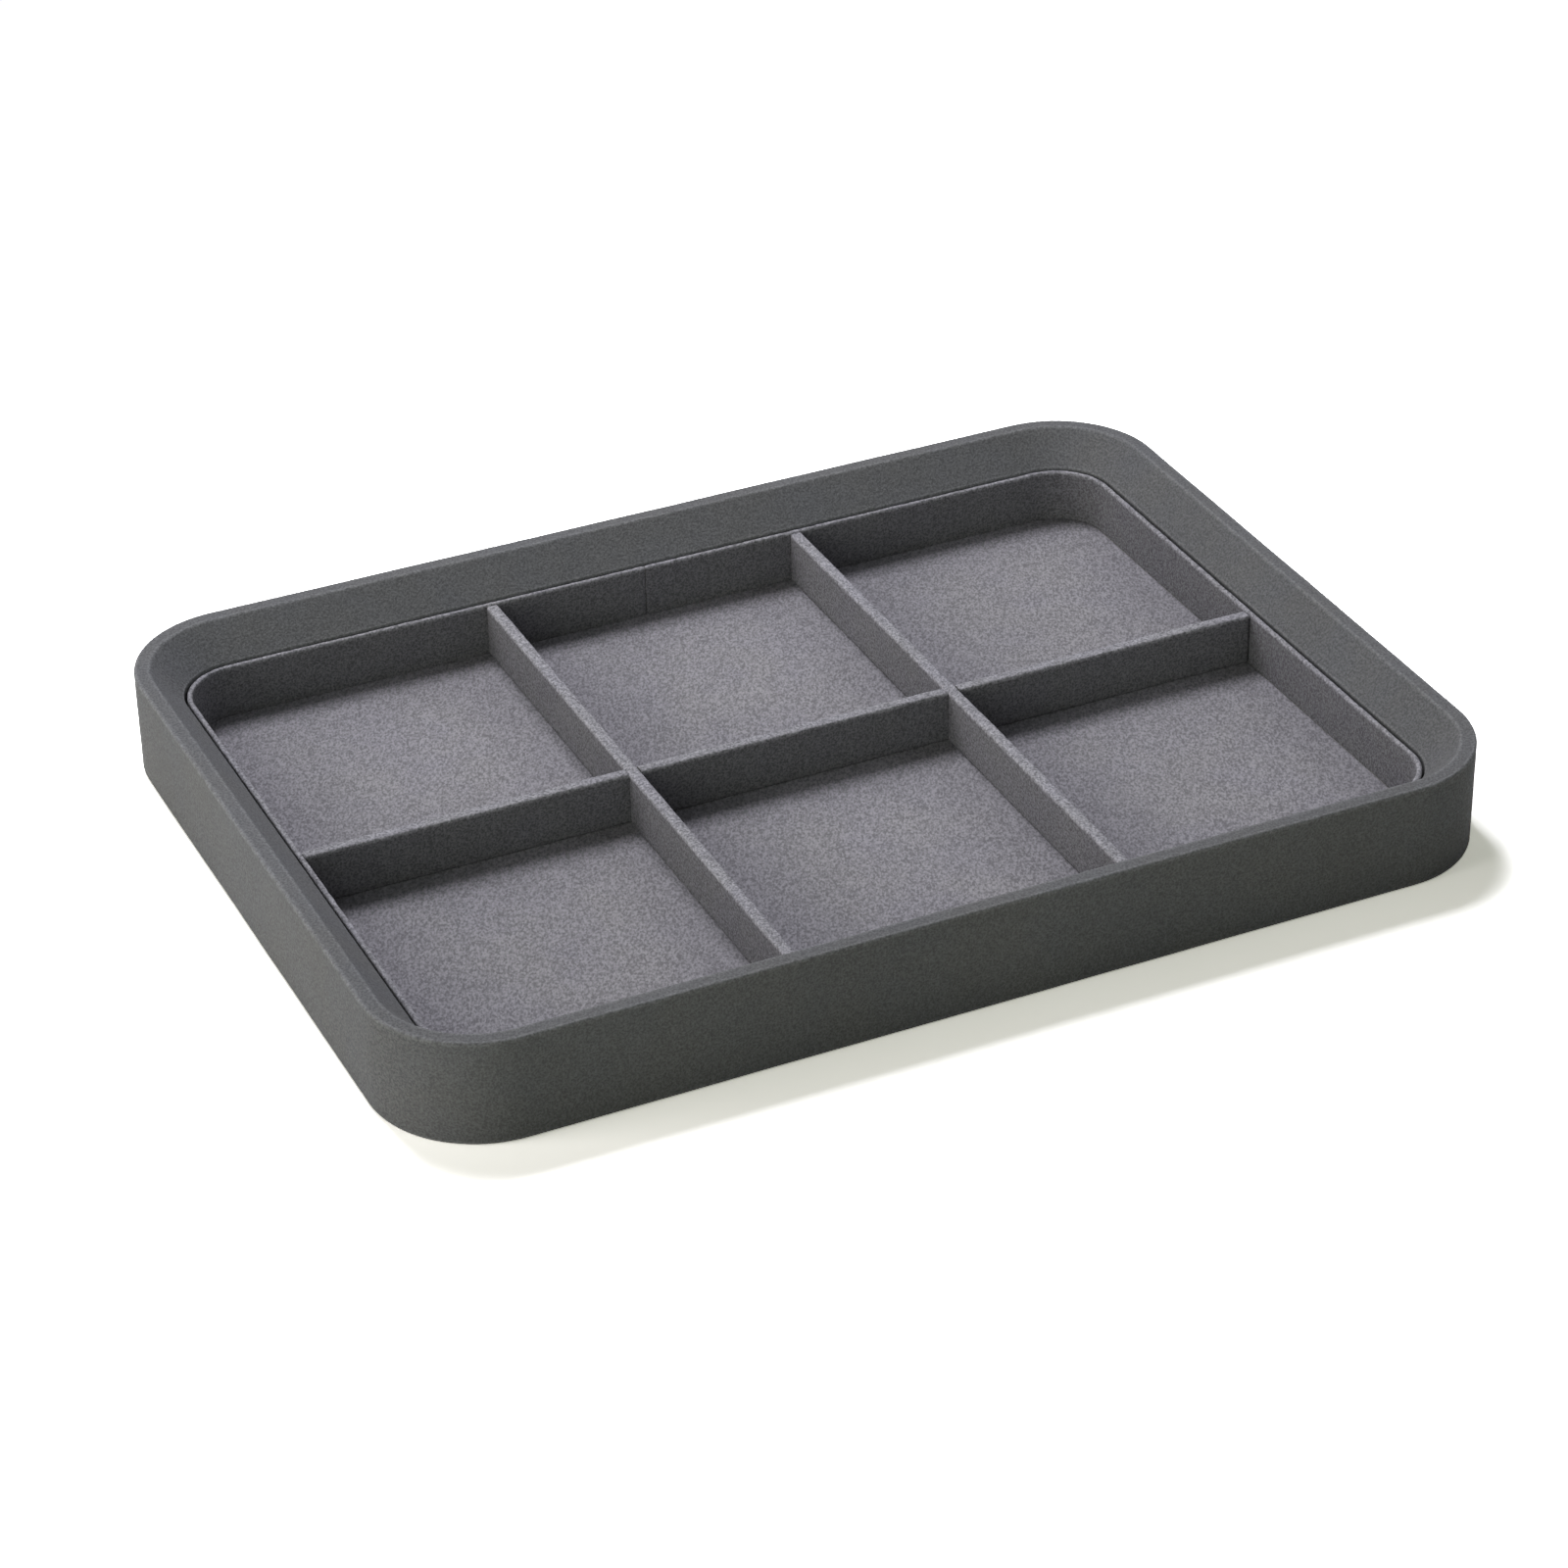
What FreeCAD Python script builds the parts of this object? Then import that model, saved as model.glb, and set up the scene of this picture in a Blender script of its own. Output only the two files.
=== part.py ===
import FreeCAD, Part
import math
import operator
import os
import Sketcher
from FreeCAD import Placement, Rotation, Vector

# Jewelry display tray, in millimetres: a fabric-covered frame on a felted base, a lift-out insert
# that stands in the frame's well, and three slotted dividers that part the insert into compartments.
# The origin is the middle of the face that stands on the table. +X runs along the length, -Y is the
# front and +Z is up. Every outline seen from above is the outside one drawn in by some inset, so that
# all corners are concentric.

DIMENSIONS = (
    ("tray_length", "350", "outside length over the cover"),
    ("tray_width", "258", "outside width over the cover"),
    ("tray_height", "34", "height of the rim over the table"),
    ("corner_radius", "34", "outside corner seen from above"),
    ("border_width", "14.5", "outside face to the wall of the well"),
    ("rim_width", "4.8", "outside face to the top of the slope"),
    ("slope_drop", "10.6", "rim to the foot of the slope"),
    ("fabric_thickness", "0.4", "microfibre of the covers and linings"),
    ("rim_outer_round", "0.4", "frame board, outer edge of the rim"),
    ("rim_inner_round", "0.5", "frame board, inner edge of the rim"),
    ("slope_foot_round", "0.3", "frame board, foot of the slope"),
    ("frame_foot_round", "0.5", "frame board, lower outside edge"),
    ("felt_proud", "0.3", "felt below the hem of the cover"),
    ("base_board_thickness", "2.8", "panel under the well"),
    ("base_lap", "6", "rebate of the frame over the base board"),
    ("hem_margin", "0.7", "hem of the cover to the rebate"),
    ("felt_gap", "0.5", "hem of the cover to the felt"),
    ("base_gap", "0.3", "base board to the side of its rebate"),
    ("brad_radius", "0.6", "brads through the base board"),
    ("brad_length", "10", "brads through the base board"),
    ("lining_gap", "0.2", "cut edge of a lining to the wall round it"),
    ("insert_gap", "0.9", "wall of the well to the insert"),
    ("insert_reveal", "0.2", "foot of the slope to the top of the insert"),
    ("wall_board_thickness", "0.8", "bent strip of the insert wall"),
    ("wall_round", "0.4", "upper edges of that strip"),
    ("seam_gap", "0.3", "butt joint of the strip and its cover"),
    ("floor_board_thickness", "1.7", "bottom of the insert"),
    ("divider_board_thickness", "3.0", "board of each divider"),
    ("divider_round", "0.4", "edges of each divider board"),
    ("divider_drop", "0.2", "top of the insert wall to the dividers"),
    ("divider_end_gap", "0.2", "end of a divider to the insert wall"),
    ("slot_side_gap", "0.2", "divider to each side of a slot"),
    ("slot_depth_gap", "0.15", "half of the play between crossing slots"),
)

BRADS_ALONG = 4
BRADS_ACROSS = 3
COMPARTMENTS_ALONG = 3
ROUND_SHARE = 0.4
SLOT_OVERRUN = 1.0
TOLERANCE = 0.001
START, END = 1, 2
ORIGIN = (-1, 1)
SIGNS = {"+": operator.add, "-": operator.sub, "*": operator.mul, "/": operator.truediv}


class Size:
    """A length kept as its formula on the sheet's cells and as its present value."""

    def __init__(self, formula, value):
        self.formula = formula
        self.value = value

    def joined(self, sign, other):
        if not isinstance(other, Size):
            other = Size(str(other), other)
        value = SIGNS[sign](self.value, other.value)
        return Size(f"({self.formula} {sign} {other.formula})", value)

    def __add__(self, other):
        return self.joined("+", other)

    def __sub__(self, other):
        return self.joined("-", other)

    def __mul__(self, other):
        return self.joined("*", other)

    def __truediv__(self, other):
        return self.joined("/", other)

    def __neg__(self):
        return self * -1


def hypotenuse(run, drop):
    return Size(f"sqrt({run.formula}^2 + {drop.formula}^2)", math.hypot(run.value, drop.value))


def least(first, second):
    return Size(f"min({first.formula}; {second.formula})", min(first.value, second.value))


doc = FreeCAD.newDocument("jewelry_tray")


def make_sheet():
    sheet = doc.addObject("Spreadsheet::Sheet", "sizes")
    for row, (alias, number, meaning) in enumerate(DIMENSIONS, start=1):
        sheet.set(f"A{row}", meaning)
        sheet.set(f"B{row}", number)
        sheet.setAlias(f"B{row}", alias)
    doc.recompute()
    return {alias: Size(f"sizes.{alias}", float(sheet.get(alias))) for alias, _, _ in DIMENSIONS}


size = make_sheet()
NONE = Size("0", 0.0)
fabric = size["fabric_thickness"]

# heights over the table, from the felt up
hem_bottom = size["felt_proud"]
frame_bottom = hem_bottom + fabric
base_top = frame_bottom + size["base_board_thickness"]
well_floor = base_top + fabric
insert_board_top = well_floor + size["floor_board_thickness"]
insert_floor = insert_board_top + fabric
slope_foot = size["tray_height"] - size["slope_drop"]
insert_top = slope_foot - size["insert_reveal"]

# insets from the outside face of the tray
rebate_inset = size["border_width"] - size["base_lap"]
hem_inset = rebate_inset - size["hem_margin"]
insert_inset = size["border_width"] + size["insert_gap"]
wall_thickness = size["wall_board_thickness"] + fabric * 2
wall_inner_inset = insert_inset + wall_thickness
floor_board_inset = insert_inset + fabric + size["wall_board_thickness"]

# dividers and the compartments that they part
divider_thickness = size["divider_board_thickness"] + fabric * 2
divider_height = insert_top - size["divider_drop"] - insert_floor
divider_end = wall_inner_inset + size["divider_end_gap"]
cross_length = size["tray_length"] - divider_end * 2
side_length = size["tray_width"] - divider_end * 2
clear_length = size["tray_length"] - wall_inner_inset * 2
divider_pitch = (clear_length + divider_thickness) / COMPARTMENTS_ALONG
slot_width = divider_thickness + size["slot_side_gap"] * 2


def new_body(label):
    return doc.addObject("PartDesign::Body", label)


def new_sketch(body, name, role, height=None):
    """A sketch on one of the body's own origin planes, lifted to a height where one is given."""
    sketch = body.newObject("Sketcher::SketchObject", name)
    plane = next(feature for feature in body.Origin.OriginFeatures if feature.Role == role)
    sketch.AttachmentSupport = [(plane, "")]
    sketch.MapMode = "FlatFace"
    if height is not None:
        sketch.setExpression("AttachmentOffset.Base.z", height.formula)
    return sketch


def bind(sketch, kind, *places, to):
    """A dimension in the sketch that follows a formula."""
    number = sketch.addConstraint(Sketcher.Constraint(kind, *places, to.value))
    sketch.setExpression(f"Constraints[{number}]", to.formula)


def add_outline(sketch, inset):
    """The tray's rounded outline, drawn in by an inset."""
    half_length = size["tray_length"] / 2 - inset
    half_width = size["tray_width"] / 2 - inset
    radius = size["corner_radius"] - inset
    x = half_length.value
    y = half_width.value
    r = radius.value
    ends = (
        ((x, r - y), (x, y - r)),
        ((x - r, y), (r - x, y)),
        ((-x, y - r), (-x, r - y)),
        ((r - x, -y), (x - r, -y)),
    )
    centres = ((x - r, y - r), (r - x, y - r), (r - x, r - y), (x - r, r - y))
    quarter = math.pi / 2
    sides = []
    turns = []
    for number, (start, end) in enumerate(ends):
        line = Part.LineSegment(Vector(*start, 0), Vector(*end, 0))
        circle = Part.Circle(Vector(*centres[number], 0), Vector(0, 0, 1), r)
        sides.append(sketch.addGeometry(line))
        turns.append(sketch.addGeometry(Part.ArcOfCircle(circle, number * quarter, (number + 1) * quarter)))
    for number in range(4):
        following = sides[(number + 1) % 4]
        sketch.addConstraint(Sketcher.Constraint("Tangent", sides[number], END, turns[number], START))
        sketch.addConstraint(Sketcher.Constraint("Tangent", turns[number], END, following, START))
        sketch.addConstraint(Sketcher.Constraint(("Vertical", "Horizontal")[number % 2], sides[number]))
    for turn in turns[1:]:
        sketch.addConstraint(Sketcher.Constraint("Equal", turns[0], turn))
    bind(sketch, "Radius", turns[0], to=radius)
    bind(sketch, "DistanceX", *ORIGIN, sides[0], START, to=half_length)
    bind(sketch, "DistanceY", *ORIGIN, sides[1], START, to=half_width)
    bind(sketch, "DistanceX", sides[2], START, *ORIGIN, to=half_length)
    bind(sketch, "DistanceY", sides[3], START, *ORIGIN, to=half_width)


def add_rectangle(sketch, left, right, low, high):
    corners = ((left, low), (right, low), (right, high), (left, high))
    points = [Vector(x.value, y.value, 0) for x, y in corners]
    lines = []
    for number in range(4):
        lines.append(sketch.addGeometry(Part.LineSegment(points[number], points[(number + 1) % 4])))
    for number in range(4):
        following = lines[(number + 1) % 4]
        sketch.addConstraint(Sketcher.Constraint("Coincident", lines[number], END, following, START))
        sketch.addConstraint(Sketcher.Constraint(("Horizontal", "Vertical")[number % 2], lines[number]))
    bind(sketch, "DistanceX", *ORIGIN, lines[0], START, to=left)
    bind(sketch, "DistanceY", *ORIGIN, lines[0], START, to=low)
    bind(sketch, "DistanceX", *ORIGIN, lines[2], START, to=right)
    bind(sketch, "DistanceY", *ORIGIN, lines[2], START, to=high)


def pad(body, name, sketch, length):
    feature = body.newObject("PartDesign::Pad", name)
    feature.Profile = sketch
    feature.setExpression("Length", length.formula)
    doc.recompute()
    return feature


def cut(body, name, sketch, setting, length=None):
    """A pocket whose direction is in its setting, and which has to take some of the body away."""
    before = body.Shape.Volume
    feature = body.newObject("PartDesign::Pocket", name)
    feature.Profile = sketch
    for key, value in setting.items():
        setattr(feature, key, value)
    if length is not None:
        feature.setExpression("Length", length.formula)
    doc.recompute()
    if feature.Shape.Volume > before - TOLERANCE:
        raise RuntimeError(f"{body.Label}: {name} takes nothing away")


UPWARD = {"Type": "Length", "Reversed": True}
THROUGH_BACK = {"Type": "ThroughAll"}
THROUGH_BOTH = {"Type": "ThroughAll", "SideType": "Symmetric"}


def inset_of(point):
    """How far inside the tray's outside face a point lies, seen from above."""
    radius = size["corner_radius"].value
    along = abs(point.x) - size["tray_length"].value / 2 + radius
    across = abs(point.y) - size["tray_width"].value / 2 + radius
    beyond = math.hypot(max(along, 0), max(across, 0))
    return radius - beyond - min(max(along, across), 0)


def pick_edges(feature, test):
    """Names of the edges whose ends and middle pass a test."""
    names = []
    for number, edge in enumerate(feature.Shape.Edges, start=1):
        if all(test(point) for point in edge.discretize(3)):
            names.append(f"Edge{number}")
    return names


def outline_edges(feature, inset, height):
    """The closed run of edges at one inset and one height."""
    def on_run(point):
        return abs(inset_of(point) - inset.value) < TOLERANCE and abs(point.z - height.value) < TOLERANCE
    return pick_edges(feature, on_run)


def rounded(body, name, base, edges, radius):
    feature = body.newObject("PartDesign::Fillet", name)
    feature.Base = (base, edges)
    feature.setExpression("Radius", radius.formula)
    doc.recompute()
    return feature


def sloped(body, base, edges, run, drop):
    """A bevel that takes its run off the rim and its drop off the wall of the well."""
    feature = body.newObject("PartDesign::Chamfer", "slope")
    feature.Base = (base, edges)
    feature.ChamferType = "Two distances"
    feature.setExpression("Size", drop.formula)
    feature.setExpression("Size2", run.formula)
    doc.recompute()
    return feature


def build_frame(label, depth):
    """The frame ring, with its surface a depth below the face of the finished cover."""
    bottom = hem_bottom + depth
    top = size["tray_height"] - depth
    well = size["border_width"] - depth
    run = size["border_width"] - size["rim_width"]
    drop = size["slope_drop"]
    slant = hypotenuse(run, drop)
    board_run = run - depth + depth * (slant - run) / drop
    board_drop = drop - depth + depth * (slant - drop) / run
    cover = fabric - depth
    body = new_body(label)
    plan = new_sketch(body, "plan", "XY_Plane", bottom)
    add_outline(plan, depth)
    add_outline(plan, well)
    ring = pad(body, "ring", plan, top - bottom)
    slope = sloped(body, ring, outline_edges(ring, well, top), board_run, board_drop)
    rounds = (
        ("rim_outer", depth, top, "rim_outer_round"),
        ("rim_inner", well - board_run, top, "rim_inner_round"),
        ("slope_foot", well, top - board_drop, "slope_foot_round"),
        ("foot", depth, bottom, "frame_foot_round"),
    )
    latest = slope
    for name, inset, height, round_name in rounds:
        edges = outline_edges(latest, inset, height)
        latest = rounded(body, name, latest, edges, size[round_name] + cover)
    rebate = new_sketch(body, "rebate_plan", "XY_Plane", bottom)
    add_outline(rebate, rebate_inset)
    cut(body, "rebate", rebate, UPWARD, base_top - bottom)
    return body


def build_frame_form():
    """The frame with its cover on, open underneath inside the hem."""
    body = build_frame("frame_form", NONE)
    hem = new_sketch(body, "hem_plan", "XY_Plane", hem_bottom)
    add_outline(hem, hem_inset)
    cut(body, "hem", hem, UPWARD, fabric)
    return body


def build_wall(label, depth):
    """The insert's ring wall, with its surface a depth below the face of the finished cover."""
    top = insert_top - depth
    outer = insert_inset + depth
    inner = wall_inner_inset - depth
    round_limit = size["wall_board_thickness"] * ROUND_SHARE
    radius = least(size["wall_round"], round_limit) + fabric - depth
    body = new_body(label)
    plan = new_sketch(body, "plan", "XY_Plane", well_floor)
    add_outline(plan, outer)
    add_outline(plan, inner)
    ring = pad(body, "ring", plan, top - well_floor)
    edges = outline_edges(ring, outer, top) + outline_edges(ring, inner, top)
    rounded(body, "upper_edges", ring, edges, radius)
    seam = new_sketch(body, "seam_plan", "XZ_Plane")
    half_gap = size["seam_gap"] / 2
    add_rectangle(seam, -half_gap, half_gap, NONE, size["tray_height"])
    cut(body, "seam", seam, THROUGH_BACK)
    return body


def build_wall_form():
    """The insert wall with its cover on, open where the floor board meets the strip."""
    body = build_wall("wall_form", NONE)
    seat = new_sketch(body, "seat_plan", "XY_Plane", well_floor)
    add_outline(seat, floor_board_inset)
    cut(body, "seat", seat, UPWARD, size["floor_board_thickness"])
    return body


def build_plate(label, inset, bottom, thickness):
    body = new_body(label)
    plan = new_sketch(body, "plan", "XY_Plane", bottom)
    add_outline(plan, inset)
    pad(body, "plate", plan, thickness)
    return body


def build_divider(label, length, depth, slots, low, high):
    """A standing divider along its own X, with slots at some places between two heights."""
    half_length = length / 2 - depth
    half_thickness = divider_thickness / 2 - depth
    top = divider_height - depth
    round_limit = size["divider_board_thickness"] * ROUND_SHARE
    radius = least(size["divider_round"], round_limit) + fabric - depth
    body = new_body(label)
    plan = new_sketch(body, "plan", "XY_Plane")
    add_rectangle(plan, -half_length, half_length, -half_thickness, half_thickness)
    block = pad(body, "block", plan, top)

    def at_top(point):
        return abs(point.z - top.value) < TOLERANCE

    def at_corner(point):
        return abs(abs(point.x) - half_length.value) + abs(abs(point.y) - half_thickness.value) < TOLERANCE

    edges = pick_edges(block, at_top) + pick_edges(block, at_corner)
    rounded(body, "edges", block, edges, radius)
    crossing = new_sketch(body, "slot_plan", "XZ_Plane")
    for place in slots:
        add_rectangle(crossing, place - slot_width / 2, place + slot_width / 2, low, high)
    cut(body, "slots", crossing, THROUGH_BOTH)
    return body


def place(body, x, turn):
    """Stand a divider on the insert's floor."""
    body.Placement = Placement(Vector(0, 0, 0), Rotation(Vector(0, 0, 1), turn))
    body.setExpression("Placement.Base.x", x.formula)
    body.setExpression("Placement.Base.z", insert_floor.formula)


def build_difference(label, whole, taken):
    feature = doc.addObject("Part::Cut", label)
    feature.Base = whole
    feature.Tool = taken
    return feature


def build_covered_divider(label, length, slots, low, high, x, turn):
    """A divider board and the cover over its faces, ends and top edge."""
    board = build_divider(f"{label}_board", length, fabric, slots, low, high)
    form = build_divider(f"{label}_form", length, NONE, slots, low, high)
    for body in (board, form):
        place(body, x, turn)
    return board, build_difference(f"{label}_cover", form, board)


def build_brads():
    """Brads up through the base board, evenly spread along the straight stretch of each side."""
    lap_middle = rebate_inset + size["base_lap"] / 2
    straight_x = size["tray_length"] - size["corner_radius"] * 2
    straight_y = size["tray_width"] - size["corner_radius"] * 2
    edge_x = size["tray_length"] / 2 - lap_middle
    edge_y = size["tray_width"] / 2 - lap_middle
    places = []
    for side in (-1, 1):
        for number in range(BRADS_ALONG):
            share = (number + 0.5) / BRADS_ALONG - 0.5
            places.append((straight_x * share, edge_y * side))
        for number in range(BRADS_ACROSS):
            share = (number + 0.5) / BRADS_ACROSS - 0.5
            places.append((edge_x * side, straight_y * share))
    brads = []
    for number, (x, y) in enumerate(places, start=1):
        brad = doc.addObject("Part::Cylinder", f"brad_{number}")
        brad.setExpression("Radius", size["brad_radius"].formula)
        brad.setExpression("Height", size["brad_length"].formula)
        brad.setExpression("Placement.Base.x", x.formula)
        brad.setExpression("Placement.Base.y", y.formula)
        brad.setExpression("Placement.Base.z", frame_bottom.formula)
        brads.append(brad)
    group = doc.addObject("Part::Compound", "base_brads")
    group.Links = brads
    return group


def build_tray():
    brads = build_brads()
    frame_blank = build_frame("frame_blank", fabric)
    board_inset = rebate_inset + size["base_gap"]
    board_blank = build_plate("base_blank", board_inset, frame_bottom, size["base_board_thickness"])
    lining_inset = size["border_width"] + size["lining_gap"]
    felt_inset = hem_inset + size["felt_gap"]
    return [
        build_difference("outer_frame", frame_blank, brads),
        build_difference("outer_frame_cover", build_frame_form(), frame_blank),
        build_difference("base_board", board_blank, brads),
        brads,
        build_plate("well_lining", lining_inset, base_top, fabric),
        build_plate("underside_felt", felt_inset, NONE, frame_bottom),
    ]


def build_insert():
    wall = build_wall("insert_wall", fabric)
    lining_inset = wall_inner_inset + size["lining_gap"]
    return [
        wall,
        build_difference("insert_wall_cover", build_wall_form(), wall),
        build_plate("insert_floor_board", floor_board_inset, well_floor, size["floor_board_thickness"]),
        build_plate("insert_floor_lining", lining_inset, insert_board_top, fabric),
    ]


def build_dividers():
    middle = divider_height / 2
    below = NONE - SLOT_OVERRUN
    above = divider_height + SLOT_OVERRUN
    half_pitch = divider_pitch / 2
    slot_floor = middle - size["slot_depth_gap"]
    slot_roof = middle + size["slot_depth_gap"]
    pieces = []
    pieces += build_covered_divider(
        "cross_divider", cross_length, (-half_pitch, half_pitch), slot_floor, above, NONE, 0)
    pieces += build_covered_divider(
        "left_divider", side_length, (NONE,), below, slot_roof, -half_pitch, 90)
    pieces += build_covered_divider(
        "right_divider", side_length, (NONE,), below, slot_roof, half_pitch, 90)
    return pieces


def check(pieces):
    """Stop before anything is written if an object failed or a shape isn't sound."""
    for item in doc.Objects:
        if "Invalid" in item.State or "Error" in item.State:
            raise RuntimeError(f"{item.Label} failed: {item.State}")
    for piece in pieces:
        if piece.Shape.isNull() or not piece.Shape.isValid():
            raise RuntimeError(f"{piece.Label} has no sound shape")


def write(pieces):
    os.makedirs("parts", exist_ok=True)
    for piece in pieces:
        piece.Shape.exportStep(os.path.join("parts", f"{piece.Label}.step"))
        box = piece.Shape.optimalBoundingBox(False)
        print(
            f"{piece.Label}: {len(piece.Shape.Solids)} solids, {piece.Shape.Volume:.1f} mm3,"
            f" {box.XLength:.2f} x {box.YLength:.2f} mm, z {box.ZMin:.2f} to {box.ZMax:.2f}"
        )


subparts = build_tray() + build_insert() + build_dividers()
doc.recompute()
check(subparts)
write(subparts)
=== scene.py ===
import math
from collections import namedtuple

import bmesh
import bpy
from mathutils import Matrix, Vector, noise


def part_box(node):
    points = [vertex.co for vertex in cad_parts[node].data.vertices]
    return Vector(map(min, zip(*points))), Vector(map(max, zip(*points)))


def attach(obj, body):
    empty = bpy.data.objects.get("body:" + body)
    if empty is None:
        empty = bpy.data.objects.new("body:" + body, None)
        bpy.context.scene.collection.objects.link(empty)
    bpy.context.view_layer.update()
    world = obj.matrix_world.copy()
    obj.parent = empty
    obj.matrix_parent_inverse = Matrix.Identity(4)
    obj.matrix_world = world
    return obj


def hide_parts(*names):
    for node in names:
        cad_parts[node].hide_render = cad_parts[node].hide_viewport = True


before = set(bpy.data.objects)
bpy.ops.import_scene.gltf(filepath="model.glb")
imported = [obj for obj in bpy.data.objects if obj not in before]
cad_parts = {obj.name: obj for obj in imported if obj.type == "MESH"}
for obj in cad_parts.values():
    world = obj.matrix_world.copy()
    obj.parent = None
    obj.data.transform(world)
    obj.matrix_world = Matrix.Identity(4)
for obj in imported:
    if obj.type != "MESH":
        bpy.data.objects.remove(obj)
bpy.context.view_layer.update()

# Jewelry tray: a fabric-covered frame with a lift-out insert and three slotted dividers. The boards and
# brads are the frame's own nodes, and every piece of cloth is built here over them.

MM = 0.001
UP = Vector((0, 0, 1))
Wave = namedtuple("Wave", "length height")


def inset_of(node):
    """How far inside the tray's outside face a node's own outside face lies."""
    return HALF_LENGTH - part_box(node)[1].x


def long_side(node):
    """The longer side of a node's box, seen from above."""
    low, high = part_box(node)
    return max(high.x - low.x, high.y - low.y)


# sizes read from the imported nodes
HALF_LENGTH, HALF_WIDTH, RIM_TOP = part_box("outer_frame_cover")[1]
HEM_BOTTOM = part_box("outer_frame_cover")[0].z
FABRIC = inset_of("outer_frame")
FRAME_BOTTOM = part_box("outer_frame")[0].z
FELT_THICKNESS = FRAME_BOTTOM
BASE_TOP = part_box("base_board")[1].z
WELL_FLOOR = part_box("well_lining")[1].z
INSERT_INSET = inset_of("insert_wall_cover")
INSERT_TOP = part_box("insert_wall_cover")[1].z
WALL_INNER_INSET = inset_of("insert_floor_board") + FABRIC
INSERT_BOARD_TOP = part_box("insert_floor_board")[1].z
INSERT_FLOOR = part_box("insert_floor_lining")[1].z
DIVIDER_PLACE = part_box("right_divider_cover")
DIVIDER_THICKNESS = DIVIDER_PLACE[1].x - DIVIDER_PLACE[0].x
DIVIDER_X = (DIVIDER_PLACE[1].x + DIVIDER_PLACE[0].x) / 2

# sizes of the sections, over the cloth
CORNER_RADIUS = 34 * MM
RIM_WIDTH = 4.8 * MM
SLOPE_DROP = 10.6 * MM
SLOPE_FOOT = RIM_TOP - SLOPE_DROP
WELL_GAP = 0.9 * MM
WELL_INSET = INSERT_INSET - WELL_GAP
HEM_INSET = 7.8 * MM
RIM_OUTER_ROUND = 0.8 * MM
RIM_INNER_ROUND = 0.9 * MM
SLOPE_FOOT_ROUND = 0.7 * MM
FRAME_FOOT_ROUND = 0.9 * MM
WALL_ROUND = 0.72 * MM
DIVIDER_ROUND = 0.8 * MM
SLOT_SIDE_PLAY = 0.2 * MM
SLOT_HALF = DIVIDER_THICKNESS / 2 + SLOT_SIDE_PLAY
SLOT_END_PLAY = 0.15 * MM
SLOT_OVERRUN = 1 * MM
SEAM_GAP = 0.2 * MM
REST_GAP = 0.02 * MM
SKIN_SHARE = 0.75
CLOTH_SKIN = FABRIC * SKIN_SHARE

# mesh spacing
PATH_STEP = 2.5 * MM
SHEET_STEP = 2 * PATH_STEP
FINE_STEP = 1.0 * MM
SECTION_STEP = 1.8 * MM
ROUND_STEPS = 6
CORNER_STEPS = 4
FOLD_REACH = 0.7 * MM
WELD_REACH = 0.01 * MM
SLIVER_LENGTH = 0.005 * MM
SHARP_ANGLE = math.radians(50)

# a divider's foot, as how far it is drawn in at each height, and a sheet's edge, as how far it falls at each
# distance from its outline
FOOT_CURVE = [(drawn_in * MM, height * MM) for drawn_in, height in (
    (0.38, 0.0), (0.34, 0.12), (0.12, 0.32), (0.02, 0.5))]
FOOT_RISE = 0.1 * MM
EDGE_CURVE = [(depth * MM, drop * MM) for depth, drop in (
    (0.0, 0.28), (0.1, 0.16), (0.25, 0.05), (0.5, 0.0), (1.2, 0.0), (3.0, 0.0), (6.0, 0.0))]

# unevenness of the cloth
FRAME_SWELL = Wave(30 * MM, 0.10 * MM)
FRAME_RIPPLE = Wave(5 * MM, 0.03 * MM)
WALL_SWELL = Wave(25 * MM, 0.06 * MM)
WALL_NAP = Wave(1.7 * MM, 0.11 * MM)
DIVIDER_SWELL = Wave(18 * MM, 0.07 * MM)
DIVIDER_NAP = Wave(1.7 * MM, 0.13 * MM)
LINING_SWELL = Wave(28 * MM, 0.05 * MM)
LINING_EDGE = Wave(7 * MM, 0.1 * MM)
FELT_SWELL = Wave(9 * MM, 0.05 * MM)
FELT_EDGE = Wave(7 * MM, 0.15 * MM)
PLEATS_PER_CORNER = 7
PLEAT_HEIGHT = 0.2 * MM
PLEAT_POWER = 3
SEAM_ROLL_DEPTH = 0.2 * MM
SEAM_ROLL_REACH = 0.7 * MM

# places in the noise: how a seed moves it along each axis, how far a nap's seed lies from its swell's, and
# how much further out a divider's crest reads it than the edges beside it
SEED_SHARES = (1.0, 1.7, 0.6)
NAP_SEED_STEP = 5
CREST_SHIFT = 1.01

# painted light and shade: the share of its colour that cloth gains or loses on each side, for how the light
# falls on its nap there
SLOPE_PAINTED_LIGHT = -0.07
SLOPE_SIDE_PAINTED_LIGHT = -0.10
SLOPE_BACK_PAINTED_LIGHT = 0.21
SLOPE_FRONT_PAINTED_LIGHT = 0.05
WALL_SIDE_PAINTED_SHADE = -0.12


def uneven(point, wave, seed):
    """Smooth unevenness, as high as the wave and about its length from crest to crest."""
    shift = Vector([seed * share for share in SEED_SHARES])
    return noise.noise(point / wave.length + shift) * wave.height


def spaced(marks, step):
    """Rising marks with even points between them, at most one step apart."""
    points = []
    for first, last in zip(marks, marks[1:]):
        count = max(1, math.ceil((last - first) / step))
        points += [first + (last - first) * number / count for number in range(count)]
    return points + [marks[-1]]


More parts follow.
